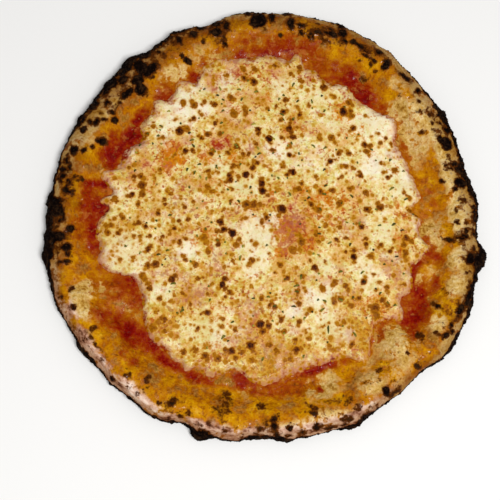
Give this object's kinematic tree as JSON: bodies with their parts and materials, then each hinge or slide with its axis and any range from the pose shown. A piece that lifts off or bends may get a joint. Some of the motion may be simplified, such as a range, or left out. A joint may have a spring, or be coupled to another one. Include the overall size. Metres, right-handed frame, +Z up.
{
  "type": "cheese pizza",
  "caption": "Whole round wood-fired cheese pizza with a puffed charred rim, tomato sauce and melted cheese.",
  "frame": {"origin": "bottom centre of the bounding box, on the surface that the pizza lies on", "axes": "+Z up through the topping; +X and +Y lie in the plane of the pizza, to the right of and up the picture"},
  "size_m": [0.301, 0.2986, 0.0178],
  "materials": {
    "baked_crust": "matt baked dough, oily gold inside, charred at the edge",
    "tomato_sauce": "moist, slightly glossy",
    "melted_cheese": "semi-gloss melted cheese with toasted spots"
  },
  "bodies": {
    "root": {"crust": "baked_crust", "sauce": "tomato_sauce", "cheese": "melted_cheese"}
  },
  "joints": []
}
